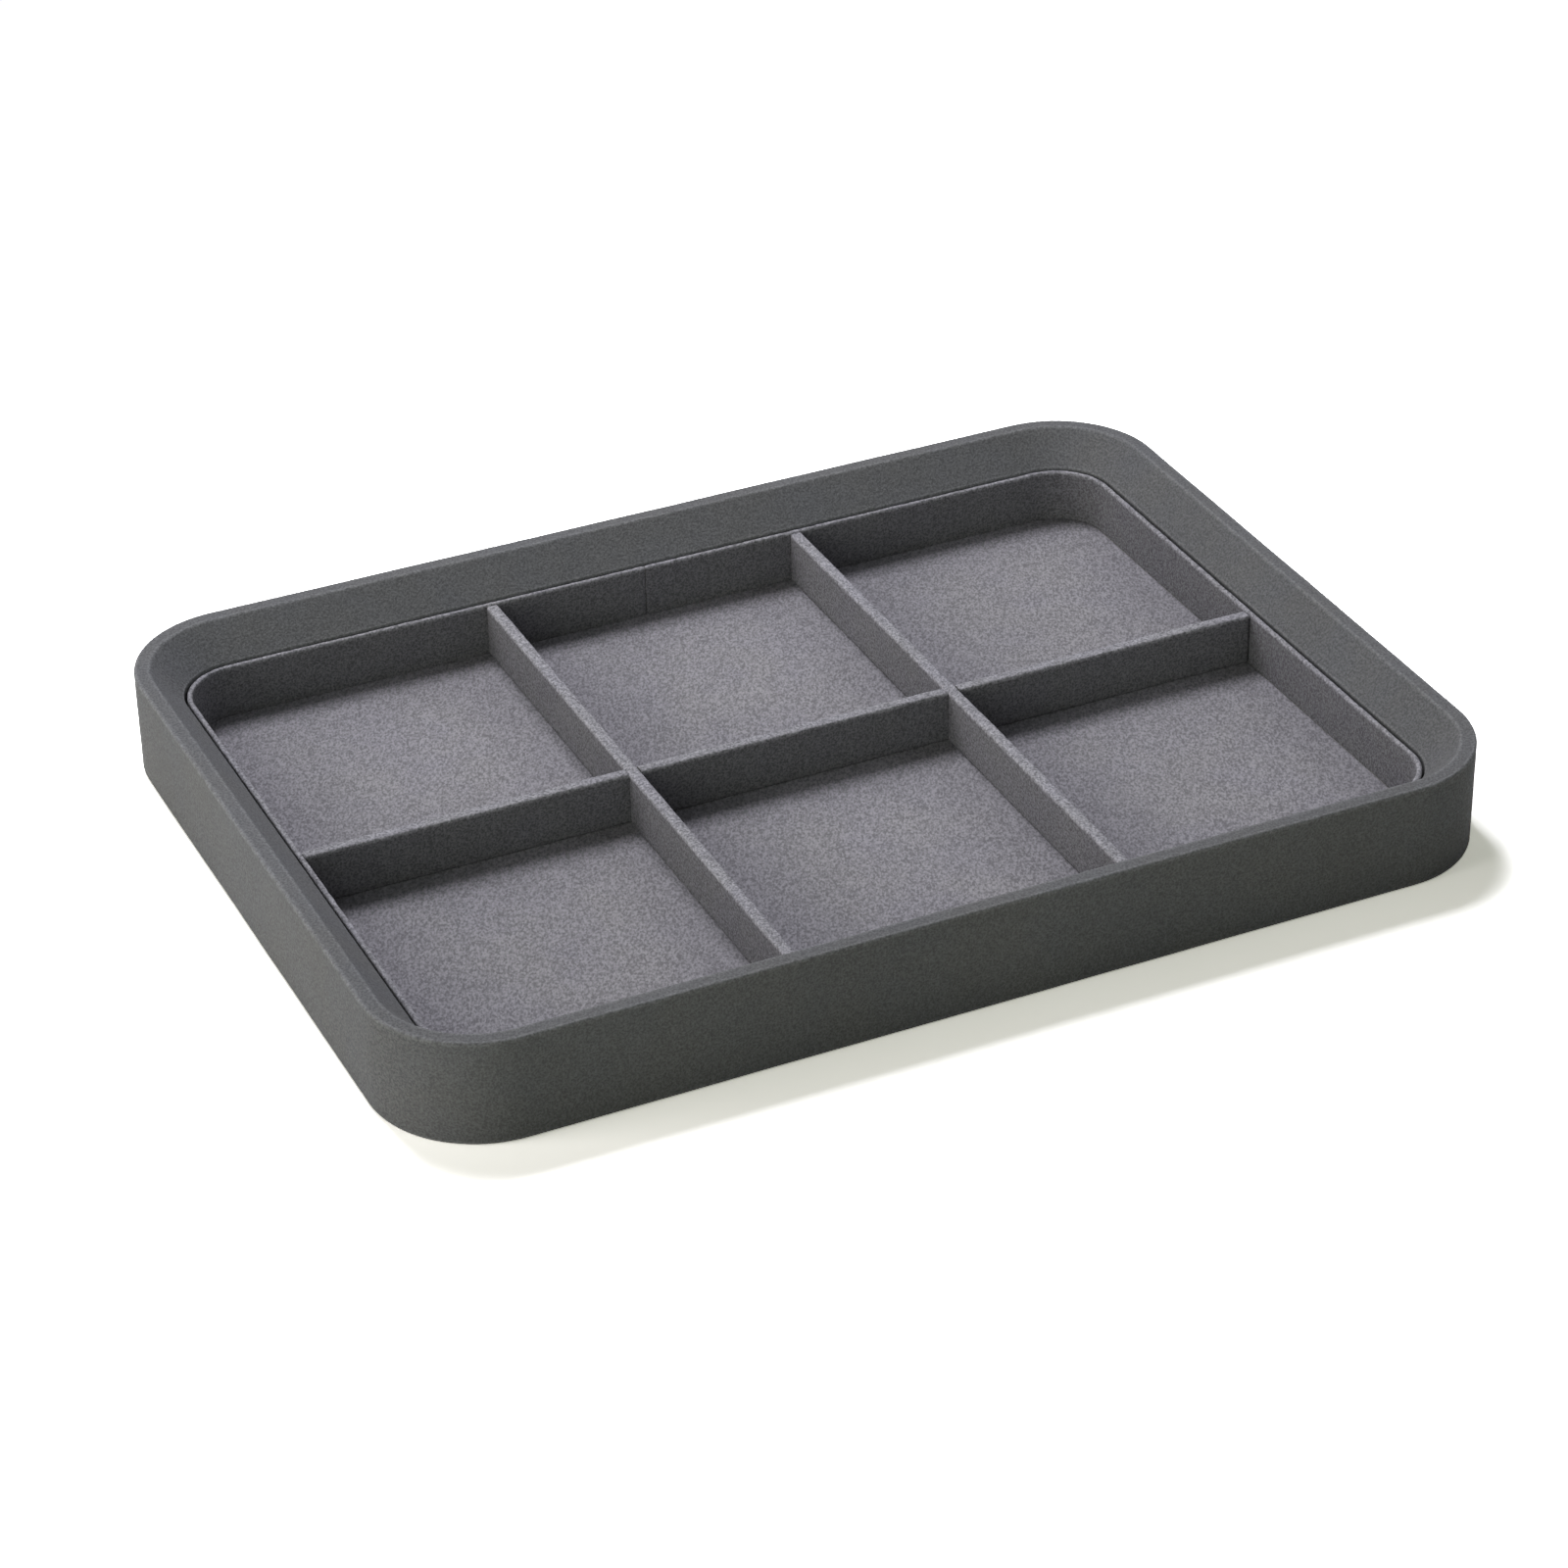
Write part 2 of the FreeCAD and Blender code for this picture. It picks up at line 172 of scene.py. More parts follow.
def tray_path(step, gap=0.0):
    """Points round the outside face with their outward normals and the turn's share, from mid back."""
    reach_x = HALF_LENGTH - CORNER_RADIUS
    reach_y = HALF_WIDTH - CORNER_RADIUS
    steps_x = math.ceil(reach_x / step)
    steps_y = math.ceil(reach_y / step)
    turn_steps = math.ceil(CORNER_RADIUS * math.pi / 2 / step)
    path = []

    def run(start, end, steps, normal):
        """A straight run without its end."""
        for number in range(steps):
            path.append((start.lerp(end, number / steps), normal, 0.0))

    def turn(centre, first):
        """A quarter turn without its end, from an angle in degrees."""
        for number in range(turn_steps):
            share = number / turn_steps
            angle = math.radians(first + 90 * share)
            normal = Vector((math.cos(angle), math.sin(angle), 0))
            path.append((centre + normal * CORNER_RADIUS, normal, share))

    back, left, front, right = (Vector(v) for v in ((0, 1, 0), (-1, 0, 0), (0, -1, 0), (1, 0, 0)))
    y_back = back * HALF_WIDTH
    y_front = front * HALF_WIDTH
    x_left = left * HALF_LENGTH
    x_right = right * HALF_LENGTH
    run(y_back + left * gap, y_back + left * reach_x, steps_x, back)
    turn(left * reach_x + back * reach_y, 90)
    run(x_left + back * reach_y, x_left, steps_y, left)
    run(x_left, x_left + front * reach_y, steps_y, left)
    turn(left * reach_x + front * reach_y, 180)
    run(y_front + left * reach_x, y_front, steps_x, front)
    run(y_front, y_front + right * reach_x, steps_x, front)
    turn(right * reach_x + front * reach_y, 270)
    run(x_right + front * reach_y, x_right, steps_y, right)
    run(x_right, x_right + back * reach_y, steps_y, right)
    turn(right * reach_x + back * reach_y, 0)
    run(y_back + right * reach_x, y_back + right * gap, steps_x, back)
    if gap:
        path.append((y_back + right * gap, back, 0.0))
    return path


def section_of(corners):
    """A rounded section through corners of inset, height and radius: inset, height, normal and fold."""
    places = [Vector((inset, height)) for inset, height, _ in corners]
    points = []

    def run(first, last):
        """A straight run, with closer points beside the folds at its ends."""
        length = (last - first).length
        count = max(1, math.ceil(length / SECTION_STEP))
        stops = {length * step / count for step in range(count + 1)}
        for reach in (FOLD_REACH / 2, FOLD_REACH):
            stops |= {stop for stop in (reach, length - reach) if 0 < stop < length}
        for stop in sorted(stops):
            from_first = stop if first != places[0] else length
            from_last = length - stop if last != places[-1] else length
            fold = max(0.0, 1 - min(from_first, from_last) / FOLD_REACH) ** 2
            points.append((first.lerp(last, stop / length), fold))

    start = places[0]
    for number in range(1, len(corners) - 1):
        corner = places[number]
        radius = corners[number][2]
        before = (corner - places[number - 1]).normalized()
        after = (places[number + 1] - corner).normalized()
        turn = before.angle(after)
        reach = radius * math.tan(turn / 2)
        side = math.copysign(1, before.cross(after))
        arc_start = corner - before * reach
        centre = arc_start + Vector((-before.y, before.x)) * side * radius
        run(start, arc_start)
        for step in range(1, ROUND_STEPS):
            turned = Matrix.Rotation(side * turn * step / ROUND_STEPS, 2)
            points.append((centre + turned @ (arc_start - centre), 1.0))
        start = corner + after * reach
    run(start, places[-1])

    section = []
    for number, (point, fold) in enumerate(points):
        before = points[max(number - 1, 0)][0]
        after = points[min(number + 1, len(points) - 1)][0]
        along = (after - before).normalized()
        section.append((point.x, point.y, Vector((-along.y, along.x)), fold))
    return section


def new_piece(name, bm, thickness, body, replaced, material, rest=None):
    """A closed piece of cloth from its outer face, which rides on a body in place of a plain node.

    With a rest its other face is flat at that height.
    """
    bmesh.ops.remove_doubles(bm, verts=bm.verts, dist=WELD_REACH)
    bmesh.ops.dissolve_degenerate(bm, edges=bm.edges, dist=SLIVER_LENGTH)
    mesh = bpy.data.meshes.new(name)
    bm.to_mesh(mesh)
    bm.free()
    outer_count = len(mesh.vertices)
    piece = bpy.data.objects.new(name, mesh)
    bpy.context.scene.collection.objects.link(piece)
    skin = piece.modifiers.new("thickness", "SOLIDIFY")
    skin.thickness = thickness
    skin.offset = -1
    skin.use_even_offset = True
    graph = bpy.context.evaluated_depsgraph_get()
    closed = bpy.data.meshes.new_from_object(piece.evaluated_get(graph))
    piece.modifiers.clear()
    piece.data = closed
    bpy.data.meshes.remove(mesh)
    closed.name = name
    if rest is not None:
        for vert in closed.vertices[outer_count:]:
            vert.co.z = rest
    closed.shade_smooth()
    closed.set_sharp_from_angle(angle=SHARP_ANGLE)
    closed.materials.append(material)
    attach(piece, body)
    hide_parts(replaced)
    return piece


def sweep(path, section, relief, painted_side_light, closed):
    """The outer face of cloth that runs round the tray with one section."""
    bm = bmesh.new()
    fold_layer = bm.verts.layers.float.new("fold")
    painted_side_light_layer = bm.verts.layers.float.new("painted_side_light")
    rows = []
    for base, normal, share in path:
        row = []
        for inset, height, across, fold in section:
            point = base - normal * inset + UP * height
            outward = UP * across.y - normal * across.x
            vert = bm.verts.new(point + outward * relief(point, inset, height, share))
            vert[fold_layer] = fold
            # painted light and shade for the side of the tray this point faces
            vert[painted_side_light_layer] = painted_side_light(normal, inset)
            row.append(vert)
        rows.append(row)
    following = rows[1:] + rows[:1] if closed else rows[1:]
    for first, second in zip(rows, following):
        for number in range(len(section) - 1):
            bm.faces.new((first[number], second[number], second[number + 1], first[number + 1]))
    return bm


def sheet_face(inset, height, facing, relief, edge):
    """One face of a flat piece of cloth with the tray's outline drawn in by an inset."""
    half_x = HALF_LENGTH - inset
    half_y = HALF_WIDTH - inset
    core = half_x - half_y
    shares = [(1 - depth / half_y, drop) for depth, drop in EDGE_CURVE]
    inner = shares[-1][0]
    rings = math.ceil(inner * half_y / SHEET_STEP)
    shares += [(inner * (1 - number / rings), 0.0) for number in range(1, rings + 1)]
    bm = bmesh.new()
    rows = []
    for base, normal, _ in tray_path(PATH_STEP):
        rim = base - normal * (inset + uneven(base, edge, seed=3.1))
        centre = Vector((max(-core, min(core, rim.x)), 0, 0))
        row = []
        for share, drop in shares:
            point = centre.lerp(rim, share) + UP * height
            row.append(bm.verts.new(point + UP * facing * (relief(point) - drop)))
        rows.append(row)
    for first, second in zip(rows, rows[1:] + rows[:1]):
        for number in range(len(shares) - 1):
            corners = (first[number], second[number], second[number + 1], first[number + 1])
            bm.faces.new(corners if facing > 0 else corners[::-1])
    return bm


def divider_face(half_length, height, slots, slot_low, slot_high, seed):
    """The outer face of a divider's cloth along X, open below and at its slots."""
    half = DIVIDER_THICKNESS / 2
    radius = DIVIDER_ROUND
    straight = half_length - radius
    shoulder = height - radius
    slot_sides = {middle + side * SLOT_HALF for middle in slots for side in (-1, 1)}
    along = spaced(sorted({-straight, straight} | slot_sides), FINE_STEP)
    marks = [FOOT_CURVE[-1][1] + FOOT_RISE]
    marks += [end for end in (slot_low, slot_high) if 0 < end < height]
    marks += [shoulder - FOLD_REACH, shoulder - FOLD_REACH / 2, shoulder]
    levels = FOOT_CURVE + [(0.0, mark) for mark in spaced(marks, SECTION_STEP)[:-1]]
    for step in range(ROUND_STEPS + 1):
        angle = math.pi / 2 * step / ROUND_STEPS
        levels.append((radius * (1 - math.cos(angle)), shoulder + radius * math.sin(angle)))
    bm = bmesh.new()
    fold_layer = bm.verts.layers.float.new("fold")

    def plan(drawn_in):
        """The divider's outline seen from above, drawn in by up to its corner radius."""
        outline = []
        corner = radius - drawn_in
        for side, run in ((1, along), (-1, along[::-1])):
            outline += [Vector((x, side * (drawn_in - half), 0)) for x in run]
            for turn in range(1, 2 * CORNER_STEPS):
                angle = math.radians(90 * turn / CORNER_STEPS - 90 * side)
                middle = side * (half - radius if turn > CORNER_STEPS else radius - half)
                x = side * straight + corner * math.cos(angle)
                outline.append(Vector((x, middle + corner * math.sin(angle), 0)))
        return outline

    def relief(point, fold):
        """Slow unevenness all over, and ragged nap at the folds."""
        nap = uneven(point, DIVIDER_NAP, seed + NAP_SEED_STEP) * fold
        return uneven(point, DIVIDER_SWELL, seed) + nap

    def add_face(*corners):
        """One face, unless it lies in a slot."""
        middle = sum((vert.co for vert in corners), Vector()) / len(corners)
        beside = all(abs(middle.x - slot) >= SLOT_HALF for slot in slots)
        if beside or not slot_low < middle.z < slot_high:
            bm.faces.new(corners)

    rows = []
    for drawn_in, z in levels:
        fold = max(0.0, 1 - max(0.0, shoulder - z) / FOLD_REACH) ** 2
        row = []
        for spot in plan(drawn_in):
            outward = Vector((0, math.copysign(1, spot.y), 0)).lerp(UP, drawn_in / radius).normalized()
            point = spot + UP * z
            vert = bm.verts.new(point + outward * relief(point, fold))
            vert[fold_layer] = fold
            row.append(vert)
        rows.append(row)
    for low, high in zip(rows, rows[1:]):
        for number in range(len(low)):
            following = (number + 1) % len(low)
            add_face(low[number], low[following], high[following], high[number])

    # the top, in two strips that meet along its middle
    count = len(along)
    back_start = count + 2 * CORNER_STEPS - 1
    front = rows[-1][:count]
    back = rows[-1][back_start:back_start + count][::-1]
    crest = []
    for near, far in zip(front, back):
        point = (near.co + far.co) / 2
        vert = bm.verts.new(point + UP * relief(point * CREST_SHIFT, 1.0))
        vert[fold_layer] = 1.0
        crest.append(vert)
    for near, far in ((front, crest), (crest, back)):
        for number in range(count - 1):
            add_face(near[number], near[number + 1], far[number + 1], far[number])
    loose = [vert for vert in bm.verts if not vert.link_faces]
    bmesh.ops.delete(bm, geom=loose, context="VERTS")
    return bm


# the mix node repeats the names of its sockets, so those for colours go by number
MIX_FACTOR = 0
MIX_FIRST = 6
MIX_SECOND = 7
MIX_RESULT = 2


def set_sockets(tree, made, sockets):
    """A node's inputs, each linked to another node's output or set to a value."""
    for key, value in sockets.items():
        if isinstance(value, bpy.types.NodeSocket):
            tree.links.new(value, made.inputs[key])
        else:
            made.inputs[key].default_value = value


def add_node(tree, kind, settings=None, sockets=None):
    """A shader node with its settings and its inputs."""
    made = tree.nodes.new(kind)
    for key, value in (settings or {}).items():
        setattr(made, key, value)
    set_sockets(tree, made, sockets or {})
    return made


def add_noise(tree, place, length, detail, rough=0.5, distortion=0.0):
    """Noise of about one length from crest to crest."""
    sockets = {
        "Vector": place, "Scale": 1 / length, "Detail": detail, "Roughness": rough,
        "Distortion": distortion,
    }
    return add_node(tree, "ShaderNodeTexNoise", {"noise_dimensions": "3D"}, sockets).outputs["Fac"]


def add_ramp(tree, factor, low, high):
    """A factor stretched so that low becomes 0 and high becomes 1."""
    sockets = {"Value": factor, "From Min": low, "From Max": high}
    return add_node(tree, "ShaderNodeMapRange", None, sockets).outputs["Result"]


def add_span(tree, factor, low, high):
    """A value that goes from low to high with a factor."""
    sockets = {"Value": factor, "To Min": low, "To Max": high}
    return add_node(tree, "ShaderNodeMapRange", None, sockets).outputs["Result"]


def add_ease(tree, value, low, high):
    """0 up to low and 1 from high on, with a smooth change between."""
    sockets = {"Value": value, "From Min": low, "From Max": high}
    settings = {"interpolation_type": "SMOOTHSTEP"}
    return add_node(tree, "ShaderNodeMapRange", settings, sockets).outputs["Result"]


def add_mix(tree, factor, first, second, blend="MIX"):
    """Two colours blended by a factor."""
    sockets = {MIX_FACTOR: factor, MIX_FIRST: first, MIX_SECOND: second}
    settings = {"data_type": "RGBA", "blend_type": blend}
    return add_node(tree, "ShaderNodeMix", settings, sockets).outputs[MIX_RESULT]


def add_gain(tree, factor, low, high):
    """An even gain that goes from low to high with a factor."""
    return add_mix(tree, factor, grey(low), grey(high))


def multiplied(tree, colour, layers):
    """A colour with each of the layers laid over it as a gain."""
    for layer in layers:
        colour = add_mix(tree, 1.0, colour, layer, "MULTIPLY")
    return colour


def add_math(tree, kind, *values):
    """One operation on one or two values."""
    return add_node(tree, "ShaderNodeMath", {"operation": kind}, dict(enumerate(values))).outputs[0]


def add_bump(tree, height, strength, distance):
    """The normals of a rough surface."""
    sockets = {"Height": height, "Strength": strength, "Distance": distance}
    return add_node(tree, "ShaderNodeBump", None, sockets).outputs["Normal"]


def add_stretch(tree, place, scale):
    """Coordinates with a scale along each axis."""
    return add_node(tree, "ShaderNodeMapping", None, {"Vector": place, "Scale": scale}).outputs["Vector"]


def shade(rgb, gain=1.0):
    """A colour with a gain."""
    return (rgb[0] * gain, rgb[1] * gain, rgb[2] * gain, 1.0)


def grey(level):
    """An even grey."""
    return (level, level, level, 1.0)


def empty_material(name):
    """A material with no shader yet, its node tree and its object coordinates."""
    material = bpy.data.materials.new(name)
    material.use_nodes = True
    tree = material.node_tree
    tree.nodes.clear()
    place = tree.nodes.new("ShaderNodeTexCoord").outputs["Object"]
    return material, tree, place


def new_material(name):
    """A material with its node tree, its object coordinates and a main shader."""
    material, tree, place = empty_material(name)
    shader = tree.nodes.new("ShaderNodeBsdfPrincipled")
    add_node(tree, "ShaderNodeOutputMaterial", None, {"Surface": shader.outputs["BSDF"]})
    return material, tree, place, shader


# microfibre: lengths of its noises, the nap's direction, and the painted shade beside dividers and walls
GRAIN_LENGTH = 0.62 * MM
FIBRE_LENGTH = 0.4 * MM
HIGHLIGHT_BREAK_LENGTH = 1.3 * MM
CLOUD_LENGTH = 24 * MM
DRIFT_LENGTH = 70 * MM
NAP_TURN = math.radians(-24)
PAINTED_SHADE_REACH = 36 * MM
PAINTED_SHADE_GAIN = 0.86
PAINTED_SHADE_LEAN = 6 * MM


def from_dividers(tree, place):
    """Distance on the insert's floor from the nearest divider or wall, shifted along X so the painted shade
    is wider on the left of each compartment.
    """
    axes = add_node(tree, "ShaderNodeSeparateXYZ", None, {0: place}).outputs
    along = add_math(tree, "ABSOLUTE", add_math(tree, "SUBTRACT", axes["X"], PAINTED_SHADE_LEAN))
    across = add_math(tree, "ABSOLUTE", axes["Y"])
    aside = add_math(tree, "ABSOLUTE", add_math(tree, "SUBTRACT", along, DIVIDER_X))
    to_middle = add_math(tree, "MINIMUM", aside, across)
    to_divider = add_math(tree, "SUBTRACT", to_middle, DIVIDER_THICKNESS / 2)
    to_end = add_math(tree, "SUBTRACT", HALF_LENGTH - WALL_INNER_INSET, along)
    to_side = add_math(tree, "SUBTRACT", HALF_WIDTH - WALL_INNER_INSET, across)
    return add_math(tree, "MINIMUM", to_divider, add_math(tree, "MINIMUM", to_end, to_side))


def microfibre(name, rgb, cool_rgb, contrast, combing, fold_highlight_gain, painted_shade=False):
    """Short-napped suede: a wormy grain combed one way, faint clouds of another tint, and a painted
    highlight along the folds.

    When asked, it paints shade on the floor beside dividers and walls, and a gain for each side paints light
    and shade on slopes and walls.
    """
    material, tree, place, shader = new_material(name)
    sockets = {"Vector": place, "Rotation": (0, 0, NAP_TURN), "Scale": (1.0, combing, 1.0)}
    combed = add_node(tree, "ShaderNodeMapping", {"vector_type": "TEXTURE"}, sockets).outputs["Vector"]
    grain = add_noise(tree, combed, GRAIN_LENGTH, detail=0.0, distortion=0.5)
    fibre = add_noise(tree, place, FIBRE_LENGTH, detail=1.0)
    cloud = add_noise(tree, place, CLOUD_LENGTH, detail=2.0, rough=0.6)
    drift = add_noise(tree, place, DRIFT_LENGTH, detail=1.0)
    colour = add_mix(tree, add_ramp(tree, cloud, low=0.40, high=0.66), shade(rgb), shade(cool_rgb))
    # painted shade: the floor darker within reach of dividers and walls, where their shadow and occlusion
    # fall
    if painted_shade:
        unshaded = add_ease(tree, from_dividers(tree, place), low=0.0, high=PAINTED_SHADE_REACH)
        colour = add_mix(tree, unshaded, shade(cool_rgb, PAINTED_SHADE_GAIN), colour)
    # painted highlight along the folds, broken up by noise
    fold = add_node(tree, "ShaderNodeAttribute", {"attribute_name": "fold"}).outputs["Fac"]
    ragged = add_ramp(tree, add_noise(tree, place, HIGHLIGHT_BREAK_LENGTH, detail=1.0), low=0.2, high=0.6)
    painted_fold_highlight = add_math(tree, "MULTIPLY", fold, ragged)
    # painted light and shade: a gain for each side of the tray, stored on the swept cloth
    painted_side_light = add_node(tree, "ShaderNodeAttribute", {"attribute_name": "painted_side_light"}).outputs["Fac"]
    painted_side_gain = add_math(tree, "ADD", painted_side_light, 1.0)
    layers = (
        add_gain(tree, add_ramp(tree, grain, low=0.28, high=0.72), low=1 - contrast, high=1 + contrast),
        add_gain(tree, add_ramp(tree, fibre, low=0.25, high=0.75), low=0.92, high=1.08),
        add_gain(tree, add_ramp(tree, drift, low=0.3, high=0.7), low=0.96, high=1.04),
        add_gain(tree, painted_fold_highlight, low=1.0, high=fold_highlight_gain),
        add_node(tree, "ShaderNodeCombineColor", None, {0: painted_side_gain, 1: painted_side_gain, 2: painted_side_gain}).outputs[0],
    )
    set_sockets(tree, shader, {
        "Base Color": multiplied(tree, colour, layers),
        "Normal": add_bump(tree, grain, strength=0.6, distance=0.2 * MM),
        "Roughness": 0.95,
        "Specular IOR Level": 0.1,
        "Sheen Weight": 0.02,
        "Sheen Roughness": 0.45,
    })
    return material


def felt(name, rgb):
    """Pressed felt: matted fibres in loose swirls."""
    material, tree, place, shader = new_material(name)
    swirl = add_noise(tree, place, length=2.6 * MM, detail=5.0, rough=0.65, distortion=2.2)
    lint = add_noise(tree, place, length=0.5 * MM, detail=2.0)
    colour = add_mix(tree, add_ramp(tree, swirl, low=0.3, high=0.7), shade(rgb, 0.7), shade(rgb, 1.35))
    specks = add_gain(tree, add_ramp(tree, lint, low=0.62, high=0.8), low=1.0, high=1.5)
    set_sockets(tree, shader, {
        "Base Color": multiplied(tree, colour, (specks,)),
        "Normal": add_bump(tree, swirl, strength=0.8, distance=0.4 * MM),
        "Roughness": 1.0,
        "Specular IOR Level": 0.05,
        "Sheen Weight": 0.15,
    })
    return material


def pressed_board(name, rgb, fleck_rgb, fleck_length, layer_length):
    """Fibreboard or greyboard: flecks of fibre in it, and layers that show on its cut edges."""
    material, tree, place, shader = new_material(name)
    fleck = add_noise(tree, place, fleck_length, detail=4.0, rough=0.6, distortion=1.2)
    layered = add_stretch(tree, place, scale=(0.05, 0.05, 1.0))
    stripe = add_noise(tree, layered, layer_length, detail=2.0)
    colour = add_mix(tree, add_ramp(tree, fleck, low=0.35, high=0.7), shade(rgb), shade(fleck_rgb))
    banded = add_gain(tree, add_ramp(tree, stripe, low=0.3, high=0.7), low=0.88, high=1.1)
    set_sockets(tree, shader, {
        "Base Color": multiplied(tree, colour, (banded,)),
        "Normal": add_bump(tree, fleck, strength=0.3, distance=0.1 * MM),
        "Roughness": add_span(tree, fleck, low=0.75, high=0.95),
        "Specular IOR Level": 0.25,
    })
    return material


def drawn_steel(name, rgb):
    """Bright drawn wire: fine lines along it and a little staining."""
    material, tree, place, shader = new_material(name)
    drawn = add_stretch(tree, place, scale=(1.0, 1.0, 0.04))
    scratch = add_noise(tree, drawn, length=0.15 * MM, detail=2.0)
    stain = add_noise(tree, place, length=1.5 * MM, detail=3.0)
    set_sockets(tree, shader, {
        "Base Color": add_mix(tree, add_ramp(tree, stain, low=0.4, high=0.75), shade(rgb), shade(rgb, 0.7)),
        "Roughness": add_span(tree, scratch, low=0.25, high=0.5),
        "Metallic": 1.0,
    })
    return material


tray_cloth = microfibre(
    "tray_microfibre", rgb=(0.137, 0.1385, 0.140), cool_rgb=(0.1345, 0.1375, 0.143),
    contrast=0.22, combing=1.2, fold_highlight_gain=1.35)
# the insert's wall and divider cloth and its floor lining are one cloth in two copies: a darker one with
# painted shade for walls and dividers, and a lighter one for the floor
shaded_insert_cloth = microfibre(
    "insert_microfibre", rgb=(0.173, 0.1715, 0.181), cool_rgb=(0.171, 0.1685, 0.184),
    contrast=0.34, combing=1.2, fold_highlight_gain=1.8)
lit_insert_cloth = microfibre(
    "insert_lining", rgb=(0.257, 0.251, 0.262), cool_rgb=(0.251, 0.245, 0.265),
    contrast=0.31, combing=1.85, fold_highlight_gain=1.0, painted_shade=True)
felt_cloth = felt("base_felt", rgb=(0.05, 0.05, 0.053))
fibreboard = pressed_board(
    "fibreboard", rgb=(0.42, 0.30, 0.19), fleck_rgb=(0.30, 0.20, 0.12),
    fleck_length=1.4 * MM, layer_length=0.6 * MM)
greyboard = pressed_board(
    "greyboard", rgb=(0.30, 0.29, 0.27), fleck_rgb=(0.20, 0.195, 0.185),
    fleck_length=1.8 * MM, layer_length=0.35 * MM)
brad_steel = drawn_steel("brad_steel", rgb=(0.62, 0.62, 0.63))


def frame_relief(point, inset, height, share):
    """Cloth drawn tight over the frame, with small pleats where the hem turns under at the corners."""
    ripple = uneven(point, FRAME_RIPPLE, seed=2.0)
    if height > FRAME_BOTTOM or inset < FRAME_FOOT_ROUND:
        return uneven(point, FRAME_SWELL, seed=1.0) + ripple
    pleat = abs(math.sin(math.pi * PLEATS_PER_CORNER * share)) ** PLEAT_POWER
    return ripple + pleat * PLEAT_HEIGHT * (inset - FRAME_FOOT_ROUND) / (HEM_INSET - FRAME_FOOT_ROUND)


def frame_painted_light(normal, inset):
    """Painted light and shade on the slopes: paler at the back, darker at the right and the front."""
    if inset < RIM_WIDTH:
        return 0.0
    lengthways = SLOPE_BACK_PAINTED_LIGHT if normal.y > 0 else SLOPE_FRONT_PAINTED_LIGHT
    return SLOPE_PAINTED_LIGHT + SLOPE_SIDE_PAINTED_LIGHT * normal.x + lengthways * normal.y


frame_section = section_of((
    (HEM_INSET, HEM_BOTTOM, 0),
    (0, HEM_BOTTOM, FRAME_FOOT_ROUND),
    (0, RIM_TOP, RIM_OUTER_ROUND),
    (RIM_WIDTH, RIM_TOP, RIM_INNER_ROUND),
    (WELL_INSET, SLOPE_FOOT, SLOPE_FOOT_ROUND),
    (WELL_INSET, BASE_TOP, 0),
))
frame_face = sweep(tray_path(PATH_STEP), frame_section, frame_relief, frame_painted_light, closed=True)
frame_cover = new_piece(
    "frame_cover", frame_face, CLOTH_SKIN, "tray", "outer_frame_cover", tray_cloth)


def wall_relief(point, inset, height, share):
    """Cloth round the insert's strip: rolled in beside the butt seam, uneven along the upper edge."""
    nap = uneven(point, WALL_NAP, seed=5.0) if height > INSERT_TOP - WALL_ROUND else 0.0
    from_seam = (abs(point.x) if point.y > 0 else HALF_LENGTH) - SEAM_GAP / 2
    roll = SEAM_ROLL_DEPTH * max(0.0, 1 - from_seam / SEAM_ROLL_REACH) ** 2
    return uneven(point, WALL_SWELL, seed=4.0) + nap - roll


def wall_painted_shade(normal, inset):
    """Painted shade on the insert's wall: its inner face is darker at the right."""
    inward = (inset - INSERT_INSET) / (WALL_INNER_INSET - INSERT_INSET)
    return WALL_SIDE_PAINTED_SHADE * max(0.0, normal.x) * inward


wall_section = section_of((
    (INSERT_INSET, WELL_FLOOR, 0),
    (INSERT_INSET, INSERT_TOP, WALL_ROUND),
    (WALL_INNER_INSET, INSERT_TOP, WALL_ROUND),
    (WALL_INNER_INSET, INSERT_BOARD_TOP, 0),
))
wall_path = tray_path(FINE_STEP, SEAM_GAP / 2)
wall_face = sweep(wall_path, wall_section, wall_relief, wall_painted_shade, closed=False)
wall_cover = new_piece(
    "insert_wall_cloth", wall_face, CLOTH_SKIN,
    "insert", "insert_wall_cover", shaded_insert_cloth)


def lying(point):
    """Cloth glued down flat, with a little unevenness below its full height."""
    return uneven(point, LINING_SWELL, seed=6.0) - LINING_SWELL.height


def matted(point):
    """Felt glued on flat, with shorter unevenness below its full height."""
    return uneven(point, FELT_SWELL, seed=7.0) - FELT_SWELL.height


well_face = sheet_face(
    inset_of("well_lining"), height=WELL_FLOOR, facing=1, relief=lying, edge=LINING_EDGE)
well_cloth = new_piece(
    "well_lining_cloth", well_face, FABRIC,
    "tray", "well_lining", tray_cloth, rest=BASE_TOP + REST_GAP)
floor_face = sheet_face(
    inset_of("insert_floor_lining"), height=INSERT_FLOOR, facing=1, relief=lying, edge=LINING_EDGE)
floor_cloth = new_piece(
    "insert_floor_cloth", floor_face, FABRIC,
    "insert", "insert_floor_lining", lit_insert_cloth, rest=INSERT_BOARD_TOP + REST_GAP)
felt_face = sheet_face(
    inset_of("underside_felt"), height=0.0, facing=-1, relief=matted, edge=FELT_EDGE)
base_felt = new_piece(
    "underside_felt_sheet", felt_face, FELT_THICKNESS,
    "tray", "underside_felt", felt_cloth, rest=FELT_THICKNESS - REST_GAP)


